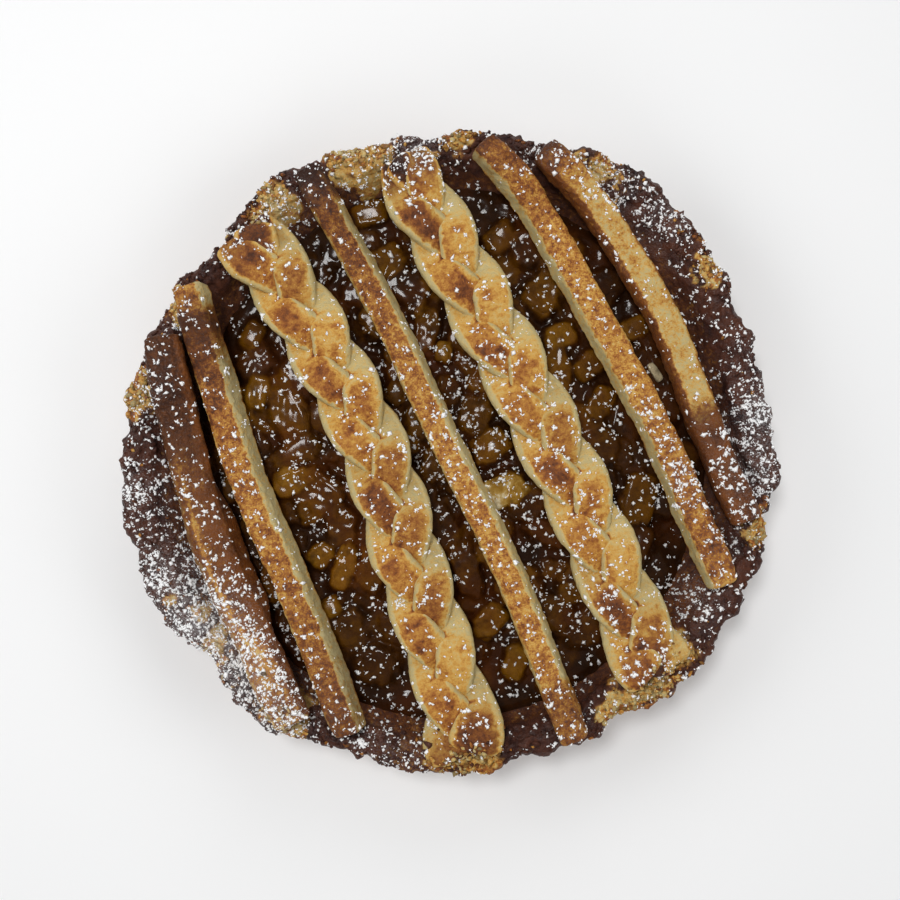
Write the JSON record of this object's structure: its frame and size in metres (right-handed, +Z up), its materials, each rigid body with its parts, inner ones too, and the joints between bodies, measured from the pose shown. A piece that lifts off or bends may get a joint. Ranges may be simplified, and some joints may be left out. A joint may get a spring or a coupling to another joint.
{
  "type": "apple pie",
  "caption": "Round open apple pie: flared broken shortcrust shell, diced apple in dark syrup, plaited and straight pastry strips laid across, icing sugar on top.",
  "frame": {"origin": "centre of the pie's box on the surface it stands on, at the underside of its flat base", "axes": "+Z up, +X to the right and +Y away from the viewer as the picture shows the pie from above"},
  "size_m": [0.2396, 0.235, 0.0454],
  "materials": {
    "crust": "baked shortcrust, crumbly, dark with dried juice on its inner wall, dusted with icing sugar",
    "filling": "glossy dark apple syrup over soft amber apple pieces",
    "strip": "baked pastry, pale at the sides, orange brown on top, burnt at some ends",
    "braid": "baked pastry, pale cream sides and golden brown tops",
    "sugar": "icing sugar, matt white"
  },
  "bodies": {
    "root": {"crust": "crust", "apple_filling": "filling", "strip_far_left": "strip", "strip_left": "strip", "strip_middle": "strip", "strip_right": "strip", "strip_far_right": "strip", "braid_left": "braid", "braid_right": "braid"}
  },
  "joints": []
}
